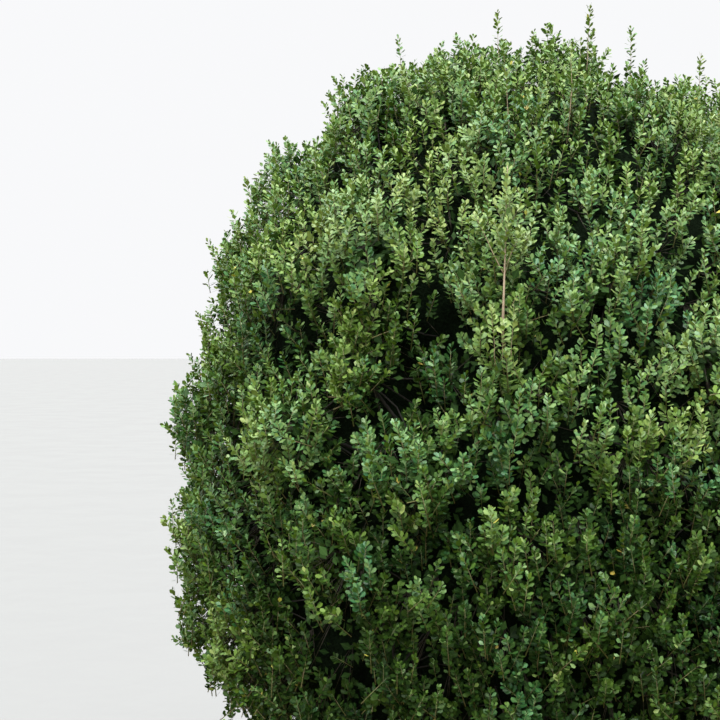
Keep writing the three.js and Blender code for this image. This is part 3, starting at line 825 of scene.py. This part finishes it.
def makeLeaves():
    # leaves stand round each shoot in a spiral, closer to the axis toward its tip
    counts = np.round(shoots["length"] * (1 - shoots["bare"]) / shoot["leafStep"]).astype(int)
    which, k = sharedOut(counts)
    ids = np.arange(len(which))
    t = (k + 0.5) / counts[which]
    axis, out, bare = (shoots[key][which] for key in ("axis", "out", "bare"))
    side = unit(np.cross(axis, skew))
    other = np.cross(axis, side)
    turn = (k * golden + leaf["anyTurn"] * chance(which, 51) + leaf["turnLoose"] * spread(ids, 50))[:, None]
    lean = between(*leaf["angles"], t ** leaf["leanPower"])
    lean = np.radians(lean + leaf["leanLoose"] * spread(ids, 52))[:, None]
    along = axis * np.cos(lean) + (side * np.cos(turn) + other * np.sin(turn)) * np.sin(lean)
    face = leaf["axisTurn"] * axis + leaf["upTurn"] * up + leaf["outTurn"] * out
    face = unit(face + leaf["faceLoose"] * spread3(ids, 53))
    atFoot, gain, loss = leaf["profile"]
    length = leaf["length"] * (atFoot + gain * t + loss * t ** 3)
    length *= 1 + leaf["lengthSpread"] * spread(ids, 56)
    length *= 1 + leaf["shootSpread"] * spread(which, 57)
    place = between(bare, 1, t ** shoot["towardTip"])
    root = shoots["tip"][which] - axis * (shoots["length"][which] * (1 - place) + leaf["inset"])[:, None]
    root += along * leaf["stalk"]

    owner = shoots["owner"][which]
    tone = leafTone["spray"] * sprayToneAndPaintedLight[owner] + leafTone["tip"] * t ** leafTone["tipPower"]
    pale = chance(ids, 70) < leafTone["paleShare"]
    tone += leafTone["spread"] * spread(ids, 58) + leafTone["pale"] * pale
    # painted shade: leaves darker toward the edge of their spray's dome, where it falls away between the sprays
    tone += leafTone["edge"] * shoots["edge"][which] + leafTone["single"] * (which >= crowd)
    shade = np.clip(leafTone["shade"] + leafTone["shadeSpread"] * spread(ids, 59) + sprayHue[owner], 0, 1)
    old = chance(ids, 60) < oldLeaves["share"]
    order = np.argsort(np.where(old, 9.0, tone))   # the old ones come last
    fresh = len(order) - old.sum()
    start = 0
    for name, share, *colours in tints + [("leavesOld", 1.0, *oldLeaves["colours"])]:
        end = len(order) if name == "leavesOld" else min(start + int(round(share * fresh)), fresh)
        pick = np.sort(order[start:end])
        start = end
        addLeaves(name, colours, leaf, root[pick], along[pick], face[pick], length[pick], shade[pick])


makeLeaves()

inner = dict(
    perShoot=5, length=0.026, lengthSpread=0.25, depths=(0.056, 0.185), loose=0.022,
    upTurn=0.4, faceUp=0.7, faceLoose=0.5,
    outline=[(0, 0, 0), (0.5, 0.3, 0), (1, 0, 0), (0.5, -0.3, 0)], triangles=[(0, 2, 1), (0, 3, 2)],
    # their colours are dark as painted shade for the inside of the crown
    colours=((0.031, 0.07, 0.016), (0.014, 0.035, 0.01), (0.05, 0.1, 0.025), 0.05),
)


def makeInnerLeaves():
    # larger leaves behind the shoots, darker than the outer ones as painted shade: flat diamonds, turned every
    # way
    which = np.repeat(np.arange(crowd), inner["perShoot"])
    ids = np.arange(len(which))
    loose, out = spread3(ids, 61), shoots["out"][which]
    depth = between(*inner["depths"], chance(ids, 64))
    root = shoots["tip"][which] - out * depth[:, None] + inner["loose"] * loose
    along = unit(spread3(ids, 65) + inner["upTurn"] * up)
    face = unit(out + inner["faceUp"] * up + inner["faceLoose"] * loose[:, ::-1])
    length = inner["length"] * (1 + inner["lengthSpread"] * spread(ids, 68))
    addLeaves("leavesInner", inner["colours"], inner, root, along, face, length, chance(ids, 69))


makeInnerLeaves()

deep = dict(
    depth=0.2, thinTop=0.04, thinFoot=0.12, footSlope=2, footFrom=0.8, openBelow=0.02, openFrom=0.6,
    lumps=0.03, lumpSize=0.16, tuftShare=0.035, columns=120, rows=70, shine=0.05,
    paint=dict(
        main=(0.0062, 0.013, 0.0052), dark=(0.0034, 0.007, 0.003), pale=(0.0105, 0.021, 0.0088),
        coarse=30, fine=140, rough=(0.9, 1.0), bump=0.9, depth=0.02,
    ),
)


def makeDeepShade():
    # the dark inside of the crown: the egg again, further in and lumpy, and hollowed where the boughs go in
    rows, columns = deep["rows"] - 2, deep["columns"]
    v = np.linspace(-math.pi / 2, math.pi / 2, deep["rows"])[1:-1]
    v, u = np.meshgrid(v, turns(columns), indexing="ij")
    way = np.concatenate([polar(np.cos(v), u, np.sin(v)).reshape(-1, 3), [[0, 0, -1], [0, 0, 1]]])
    level = way[:, 2]
    below = np.clip((-level - deep["openFrom"]) / (1 - deep["openFrom"]), 0, 1)
    depth = deep["depth"] - deep["thinTop"] * np.clip(level, 0, 1) ** 2
    atFoot = np.clip(-deep["footSlope"] * level - deep["footFrom"], 0, 1)
    depth -= deep["thinFoot"] * atFoot
    reach = (crownReach(way) - depth) * (1 - deep["openBelow"] * below ** 2)
    dips = eggLevel(heart + way * reach[:, None]) - reach + crownReach(way) - crown["eggDepth"]
    pits = np.minimum(reliefAt(behindTips(way, 0)), deep["tuftShare"])
    points = heart + way * (reach - dips + pits)[:, None]
    points += way * (deep["lumps"] * softNoise(points, deep["lumpSize"], 71))[:, None]
    dark = earthy("deepShade", **deep["paint"])
    dark.node_tree.nodes["Principled BSDF"].inputs["Specular IOR Level"].default_value = deep["shine"]
    keep(addMesh("crownShade", points, closedSkin(rows, columns), dark), "foliage", *foliageNodes)


makeDeepShade()


# limbs

trunk = dict(
    foot=0.5553, height=0.4, gap=0.0003, radii=(0.062, 0.05), lean=0.022, rows=90, sides=48,
    flare=0.038, flareHeight=0.16, roots=5, rootShare=0.35, ripple=0.01,
    paint=dict(
        main=(0.175, 0.15, 0.12), dark=(0.1, 0.085, 0.065), pale=(0.26, 0.245, 0.21),
        coarse=26, fine=210, rough=(0.7, 0.9), bump=0.5, depth=0.002, stretch=(1, 1, 0.35),
    ),
)
bough = dict(
    bend=0.36, rows=60, mains=7, uppers=4,
    leaderRadius=0.03, leaderTip=0.012, leaderSides=20, leaderStart=0.97,
    mainRadius=0.025, mainTip=0.012, mainSides=18, mainStarts=(0.5, 0.9), mainStep=3, mainClimb=52,
    sideRadius=0.015, sideTip=0.011, sideSides=14, sideClimb=30, skirtStart=0.2, bellyStart=0.42,
    upperStart=0.5, upperStep=0.06, upperClimb=50,
    wander=(0.8, 0.4), ridges=(0.03, 0.022), knots=0.035,   # how far the bark's ridges wander and stand out
)


def trunkPath(t):
    # a cubic curve that leaves the soil and ends upright, with a small lean between
    foot = np.array([[0, 0, trunk["foot"]]])
    head = np.array([[trunk["lean"], -trunk["lean"] / 2, trunk["foot"] - trunk["gap"] + trunk["height"]]])
    third = up * trunk["height"] / 3
    return bezier(foot, foot + third, head - third, head, t)[0]


def lengthShare(path, share):
    # the point at a share of a path's length
    steps = np.linalg.norm(np.diff(path, axis=0), axis=1)
    run = np.concatenate([[0], np.cumsum(steps)]) / steps.sum()
    return np.array([np.interp(share, run, path[:, axis]) for axis in range(3)])


def barkRelief(m, sides, seed):
    # shallow lengthwise ridges that wander, and small knots, as a factor of the radius
    along = np.linspace(0, 1, m)[:, None]
    angle = turns(sides)[None]
    slow, quick = bough["wander"]
    broad, narrow = bough["ridges"]
    wander = slow * np.sin(5 * along + seed) + quick * np.sin(13 * along + 2 * seed)
    ridge = broad * np.sin(5 * (angle + wander) + seed) + narrow * np.sin(9 * angle - 3 * wander + 2.3 * seed)
    knots = bough["knots"] * np.sin(37 * along + 2 * angle + seed) * np.sin(11 * along - angle)
    return 1 + ridge + knots


def limb(name, kind, line, share, climb, seed):
    # a cubic curve from a share of a line to the foot of a mass, which it meets along the mass's stem, and a
    # tube round it with the radii of its kind: leader, main or side
    m = masses[boughNodes.index("bough_" + name)]
    start, end = lengthShare(line, share), m["foot"]
    pull = bough["bend"] * np.linalg.norm(end - start)
    t = np.linspace(0, 1, bough["rows"])[::2 if kind == "side" else 1]
    corners = (start, start + direction(m["right"], climb) * pull, end - m["stem"] * pull, end)
    path, sides = bezier(*(p[None] for p in corners), t), bough[kind + "Sides"]
    relief = barkRelief(len(t), sides, seed)[None]
    return path[0], taperedTubes(path, bough[kind + "Radius"], bough[kind + "Tip"], sides, relief)


def makeLimbs():
    # the trunk, a leader with boughs to the upper masses, and seven main boughs with two side boughs each
    rows, sides = trunk["rows"], trunk["sides"]
    fine = np.linspace(0, 1, rows)
    path = trunkPath(fine)
    angle, up01 = turns(sides), fine[:, None]
    flare = trunk["flare"] * np.exp(-up01 / trunk["flareHeight"])
    flare = flare * (1 + trunk["rootShare"] * np.cos(trunk["roots"] * angle))
    radius = between(*trunk["radii"], up01) + flare
    relief = barkRelief(rows, sides, 3.0) + trunk["ripple"] * np.sin(23 * angle + 9 * up01)
    points, faces = tubes(path[None], np.ones((1, rows)), sides, (radius * relief)[None])
    bark = earthy("hollyBark", **trunk["paint"])
    keep(addMesh("trunkBark", points, faces, bark), "bark", "trunk")

    leader, tube = limb("top", "leader", path, bough["leaderStart"], 90, 1.0)
    parts, count = [tube], bough["mains"]
    for k in range(count):
        rank = ((k * bough["mainStep"]) % count) / (count - 1)
        share = between(*bough["mainStarts"], rank)
        main, tube = limb(f"shoulder_{k + 1}", "main", path, share, bough["mainClimb"], 2.0 + k)
        parts.append(tube)
        for ring in ("skirt", "belly"):
            share = bough[ring + "Start"]
            parts.append(limb(f"{ring}_{k + 1}", "side", main, share, bough["sideClimb"], 9.0 + k)[1])
    for k in range(bough["uppers"]):
        share = bough["upperStart"] + bough["upperStep"] * k
        parts.append(limb(f"upper_{k + 1}", "side", leader, share, bough["upperClimb"], 17.0 + k)[1])
    points, faces = joined(parts)
    keep(addMesh("boughs", points, faces, bark), "bark", *boughNodes)


makeLimbs()

# for each kind of branch: radius at the foot and at the tip, points and sides
branch = dict(
    stem=(0.009, 0.008, 5, 7), toLobe=(0.0048, 0.004, 7, 5), toSpray=(0.0022, 0.0016, 4, 4),
    cover=0.05, mostBent=0.2, lobeShare=0.1, pull=0.3, lobeUp=0.5, sprayUp=0.3, sprayDepth=0.11,
    # the bark's brown is darkened almost to black as painted shade, for the branches lie in the shade inside the
    # crown
    paint=dict(
        main=(0.012, 0.01, 0.007), dark=(0.008, 0.007, 0.005), pale=(0.022, 0.019, 0.014),
        coarse=40, fine=260, rough=(0.75, 0.9), bump=0.3, depth=0.001,
    ),
)


def bentTubes(kind, start, end, leaving, arriving):
    # tubes along cubic curves, moved toward the heart between their ends where they come near the surface
    first, last, count, sides = branch[kind]
    pull = np.linalg.norm(end - start, axis=1)[:, None]
    path = bezier(
        start, start + leaving * pull * branch["pull"], end - arriving * pull * branch["pull"], end,
        np.linspace(0, 1, count),
    )
    points = path.reshape(-1, 3)
    rise = eggLevel(points) - reliefAt(points) + branch["cover"]
    moved = points - unit(points - heart) * np.clip(rise, 0, branch["mostBent"])[:, None]
    path[:, 1:-1] = moved.reshape(path.shape)[:, 1:-1]
    return taperedTubes(path, first, last, sides)


def makeBranches():
    # stems from the boughs into the masses, a branch to each lobe and one to each spray
    centres, feet, stems = (np.array([m[key] for m in masses]) for key in ("centre", "foot", "stem"))
    third = (centres - feet) / 3
    first, last, count, sides = branch["stem"]
    path = bezier(feet, feet + third, centres - third, centres, np.linspace(0, 1, count))
    parts = [taperedTubes(path, first, last, sides)]

    home, _ = nearest(lobeCentres, centres)
    ends = lobeCentres + lobeOuts * (branch["lobeShare"] * lobeSizes)[:, None]
    arriving = unit(lobeOuts + branch["lobeUp"] * up)
    parts.append(bentTubes("toLobe", centres[home], ends, stems[home], arriving))
    home, _ = nearest(sprayPoints, lobeCentres)
    shift = np.minimum(reliefAt(sprayPoints) + sprayLift, 0)[:, None]
    forks = sprayPoints + sprayOuts * (shift - branch["sprayDepth"])
    leaving = unit(lobeOuts[home] + branch["sprayUp"] * up)
    parts.append(bentTubes("toSpray", ends[home], forks, leaving, sprayOuts))
    points, faces = joined(parts)
    material = earthy("branchBarkPaintedShade", **branch["paint"])
    keep(addMesh("branches", points, faces, material), "bark", *foliageNodes)
    return forks


forks = makeBranches()   # where the twigs of each spray part

twig = dict(
    radius=0.0014, inset=0.004, overlap=0.012,
    # a brown wood, darkened further as painted shade, for the twigs lie among the shaded leaves
    paint=dict(
        main=(0.042, 0.033, 0.021), dark=(0.026, 0.02, 0.014), pale=(0.07, 0.058, 0.04),
        coarse=60, fine=400, rough=(0.6, 0.8), bump=0.2, depth=0.0005,
    ),
)
shootStem = dict(
    radius=0.0013, thickest=1.6,
    paint=dict(
        main=(0.15, 0.155, 0.05), dark=(0.13, 0.088, 0.04), pale=(0.22, 0.205, 0.09),
        coarse=60, fine=400, rough=(0.5, 0.7), bump=0.1, depth=0.0005,
    ),
)
cane = dict(
    share=0.01, taper=0.8, taperPower=0.6, sway=0.05, points=9, sides=8,
    rootDepth=0.13, rootDrop=0.03, rootPull=0.03,
    paint=dict(
        main=(0.3, 0.225, 0.15), dark=(0.21, 0.15, 0.1), pale=(0.38, 0.31, 0.22),
        coarse=60, fine=400, rough=(0.6, 0.8), bump=0.2, depth=0.0005,
    ),
)


def makeTwigs():
    # a twig to the foot of each shoot, the green stem of each shoot, and the tan stems of the single ones
    tip, axis, length = shoots["tip"], shoots["axis"], shoots["length"]
    base = tip - axis * (length + twig["inset"])[:, None]
    start = forks[shoots["owner"]]
    twigs = spikes(start, base + unit(base - start) * twig["overlap"], twig["radius"])
    keep(addMesh("twigs", *twigs, earthy("twigWoodAndPaintedShade", **twig["paint"])), "bark", *foliageNodes)

    thick = shootStem["radius"] * np.clip(length / shoot["length"], 1, shootStem["thickest"])
    green = spikes(base[:crowd], tip[:crowd], thick[:crowd])
    skin = earthy("greenShoots", **shootStem["paint"])
    keep(addMesh("shootStems", *green, skin), "foliage", *foliageNodes)

    # the stems of the single shoots are older, with a slight bend
    count, sides = cane["points"], cane["sides"]
    t = np.linspace(0, 1, count)
    foot, tip, size = base[crowd:], tip[crowd:], length[crowd:, None]
    third = (tip - foot) / 3
    sway = cane["sway"] * size * spread3(np.arange(len(foot)), 111)
    path = bezier(foot, foot + third + sway, tip - third - sway, tip, t)
    taper = cane["share"] * size * (1 - cane["taper"] * t ** cane["taperPower"])
    # each comes out of the crown, but the side shoots start on the stem of the longest
    lone = len(leaders)
    stems = [tubes(path[lone:], taper[lone:], sides)]
    foot, out, axis = foot[:lone], shoots["out"][crowd:][:lone], axis[crowd:][:lone]
    end = foot - out * cane["rootDepth"] - up * cane["rootDrop"]
    inside = bezier(end, (end + foot) / 2, foot - axis * cane["rootPull"], foot, t)
    path = np.concatenate([inside, path[:lone, 1:]], 1)
    taper = np.concatenate([np.repeat(taper[:lone, :1], count, 1), taper[:lone, 1:]], 1)
    stems.append(tubes(path, taper, sides))
    wood = earthy("tanShoots", **cane["paint"])
    keep(addMesh("leaderStems", *joined(stems), wood), "bark", *foliageNodes)


makeTwigs()


# pot and soil

pot = dict(
    # radius and height of each corner of the section, and how far all but the first and last are rounded
    section=[
        (0, 0), (0.285, 0), (0.368, 0.508), (0.4, 0.506), (0.404, 0.6), (0.358, 0.6), (0.255, 0.04),
        (0, 0.04),
    ],
    rounds=(0.009, 0.008, 0.01, 0.013, 0.012, 0.02), step=0.012, sides=180,
    drainRadius=0.014, drainRing=0.15, drainCount=4, drainSides=24, drainReach=(-0.03, 0.08),
    rings=0.00035, ringPace=420, waver=2, waverSize=0.3, uneven=0.0012, unevenSize=0.4, plainFoot=0.03,
    paint=dict(
        main=(0.385, 0.165, 0.085), dark=(0.3, 0.12, 0.062), pale=(0.455, 0.235, 0.14),
        coarse=7, fine=120, rough=(0.72, 0.9), bump=0.25, depth=0.0012, stretch=(1, 1, 1.4),
    ),
    bloom=(0.56, 0.47, 0.39), bloomHeight=0.22, bloomLow=0.75, bloomBase=0.22,
)
soil = dict(
    top=0.555, edgeDrop=0.007, gap=0.0008, rimRound=0.008, sides=120, step=0.009, footGap=0.012,
    edgeGap=0.004, flat=0.15, sink=0.002, crumbs=0.003, grains=0.0022, crumbSize=0.035, grainSize=0.013,
    rough=0.33, fade=0.03, topFade=0.01,
    paint=dict(
        main=(0.045, 0.03, 0.02), dark=(0.022, 0.015, 0.01), pale=(0.095, 0.068, 0.045),
        coarse=40, fine=260, rough=(0.85, 0.98), bump=0.8, depth=0.004,
    ),
)
chip = dict(
    count=900, ring=0.335, least=0.015, stemRing=0.115, stemGap=0.12, lift=0.0005, dropFrom=0.15,
    dropOver=0.2, tilt=0.25, roll=0.3, smallest=(0.006, 0.003, 0.0012), larger=(0.011, 0.005, 0.0018), uneven=0.3,
    paint=dict(
        main=(0.12, 0.075, 0.045), dark=(0.06, 0.038, 0.025), pale=(0.22, 0.15, 0.095),
        coarse=55, fine=300, rough=(0.8, 0.95), bump=0.5, depth=0.001,
    ),
)


def roundedProfile(corners, rounds, steps=7):
    # a line through the corners, each rounded by a quadratic curve that starts and ends so far from it
    corners = np.array(corners, float)
    made = [corners[0]]
    for before, corner, after, size in zip(corners[:-2], corners[1:-1], corners[2:], rounds):
        enter = corner + unit(before - corner) * size
        leave = corner + unit(after - corner) * size
        t = np.linspace(0, 1, steps)[:, None]
        made.extend(enter * (1 - t) ** 2 + 2 * corner * t * (1 - t) + leave * t ** 2)
    made.append(corners[-1])
    return np.array(made)


def refined(profile, step):
    # the same line with a point at least every so far
    made = [profile[:1]]
    for start, end in zip(profile[:-1], profile[1:]):
        count = max(1, int(np.ceil(np.linalg.norm(end - start) / step)))
        made.append(start + (end - start) * (np.arange(1, count + 1) / count)[:, None])
    return np.concatenate(made)


def turned(profile, sides, relief):
    # a profile carried round the axis, where it starts and ends; relief gives a shift along the normal
    line = profile[1:-1]
    slope = np.gradient(line, axis=0)
    normal = unit(np.stack([slope[:, 1], -slope[:, 0]], -1))
    points, way = (polar(v[:, 0:1], turns(sides), v[:, 1:2]).reshape(-1, 3) for v in (line, normal))
    points += way * relief(points)[:, None]
    poles = np.array([[0, 0, profile[0, 1]], [0, 0, profile[-1, 1]]])
    return np.concatenate([points, poles]), closedSkin(len(line), sides)


def potMaterial():
    # fired clay with a pale mineral bloom in clouds, most of it low on the wall
    material = earthy("firedClay", **pot["paint"])
    tree, mix = overColour(material, pot["bloom"])
    place, parts = node(tree, "TexCoord"), node(tree, "SeparateXYZ")
    low = ramp(tree, 0, pot["bloomHeight"], pot["bloomLow"], 0)
    cloud = node(tree, "TexNoise", Scale=9.0, Detail=7.0, Roughness=0.7)
    cloudRamp = ramp(tree, 0.48, 0.66)
    base = node(tree, "Math", operation="ADD")
    base.inputs[1].default_value = pot["bloomBase"]
    amount = node(tree, "Math", operation="MULTIPLY")
    wire(
        tree, (place, "Object", parts, 0), (place, "Object", cloud, "Vector"), (parts, "Z", low, "Value"),
        (cloud, "Fac", cloudRamp, "Value"), (low, 0, base, 0), (base, 0, amount, 0),
        (cloudRamp, 0, amount, 1), (amount, 0, mix, "Factor"),
    )
    return material


def makePot():
    # the section turned, with drain holes cut through the floor
    profile = refined(roundedProfile(pot["section"], pot["rounds"]), pot["step"])

    def relief(points):
        # faint rings from throwing and a slow unevenness, none on the underside or the floor
        wall = np.clip(points[:, 2] / pot["plainFoot"], 0, 1)
        turn = points[:, 2] * pot["ringPace"] + pot["waver"] * softNoise(points, pot["waverSize"], 81)
        return wall * (pot["rings"] * np.sin(turn) + pot["uneven"] * softNoise(points, pot["unevenSize"], 85))

    points, faces = turned(profile, pot["sides"], relief)
    piece = addMesh("clayPot", points, faces, potMaterial())
    for k in range(pot["drainCount"]):
        turn = 2 * math.pi * (k + 0.5) / pot["drainCount"]
        path = polar(pot["drainRing"], turn, np.array(pot["drainReach"]))
        hole = tubes(path[None], np.full((1, 2), pot["drainRadius"]), pot["drainSides"])
        cutter = addMesh("drainCutter", *hole, piece.data.materials[0])
        cut = piece.modifiers.new("drain", "BOOLEAN")
        cut.operation = "DIFFERENCE"
        cut.solver = "EXACT"
        cut.object = cutter
        bpy.context.view_layer.objects.active = piece
        bpy.ops.object.modifier_apply(modifier=cut.name)
        bpy.data.objects.remove(cutter)
    keep(piece, "clay", "pot")


def insideRadius(height):
    # the pot's inner wall goes straight from the rounding of its rim to its floor
    (high, rim), (low, floor) = pot["section"][5:7]
    return low + (high - low) * (height - floor) / (rim - soil["rimRound"] - floor)


def makeSoil():
    # the soil's section turned, with crumbs on its top
    low, edge = pot["section"][-1][1] + soil["gap"], soil["top"] - soil["edgeDrop"]
    middle = soil["top"] - soil["sink"]
    corners = [
        (0, low), (insideRadius(low) - soil["footGap"], low), (insideRadius(edge) - soil["edgeGap"], edge),
        (soil["flat"], middle), (0, middle),
    ]

    def relief(points):
        # crumbs and hollows on the top only
        top = np.clip((points[:, 2] - edge + soil["topFade"]) / soil["topFade"], 0, 1)
        inside = np.clip((soil["rough"] - np.hypot(points[:, 0], points[:, 1])) / soil["fade"], 0, 1)
        crumbs = soil["crumbs"] * softNoise(points, soil["crumbSize"], 91)
        crumbs = crumbs + soil["grains"] * softNoise(points, soil["grainSize"], 95) - soil["sink"]
        return top * inside * crumbs

    points, faces = turned(refined(np.array(corners), soil["step"]), soil["sides"], relief)
    keep(addMesh("soilTop", points, faces, earthy("pottingSoil", **soil["paint"])), "soil", "soil")


def makeChips():
    # bark chips on the soil: uneven boxes along three square axes, in a spiral that keeps off the stem
    ids = np.arange(chip["count"])
    ring = np.sqrt(between(chip["least"], 1, chance(ids, 101))) * chip["ring"]
    ring = np.where(ring < chip["stemRing"], ring + chip["stemGap"], ring)
    drop = soil["edgeDrop"] * np.clip((ring - chip["dropFrom"]) / chip["dropOver"], 0, 1)
    middle = polar(ring, ids * golden, soil["top"] + chip["lift"] - drop)
    a = unit(spread3(ids, 102) * [1, 1, chip["tilt"]])
    b = unit(np.cross(up + chip["roll"] * spread3(ids, 105) * [1, 1, 0], a))
    c = np.cross(a, b)
    size = np.array(chip["smallest"]) + np.array(chip["larger"]) * (spread3(ids, 107) + 1) / 2
    box = np.array([[x, y, z] for z in (-1, 1) for y in (-1, 1) for x in (-1, 1)], float)
    corner = np.arange(24).reshape(8, 3)
    box = box[None] * (1 - chip["uneven"] * chance(ids[:, None, None] * 24 + corner, 110))
    points = placed(middle, 1, box, a * size[:, 0:1], b * size[:, 1:2], c * size[:, 2:3])
    quads = np.array([[0, 2, 3, 1], [4, 5, 7, 6], [0, 1, 5, 4], [2, 6, 7, 3], [0, 4, 6, 2], [1, 3, 7, 5]])
    chips = earthy("barkChips", **chip["paint"])
    keep(addMesh("barkChips", points, copies(quads, len(ids), 8), chips, False), "soil", "soil")


makePot()
makeSoil()
makeChips()
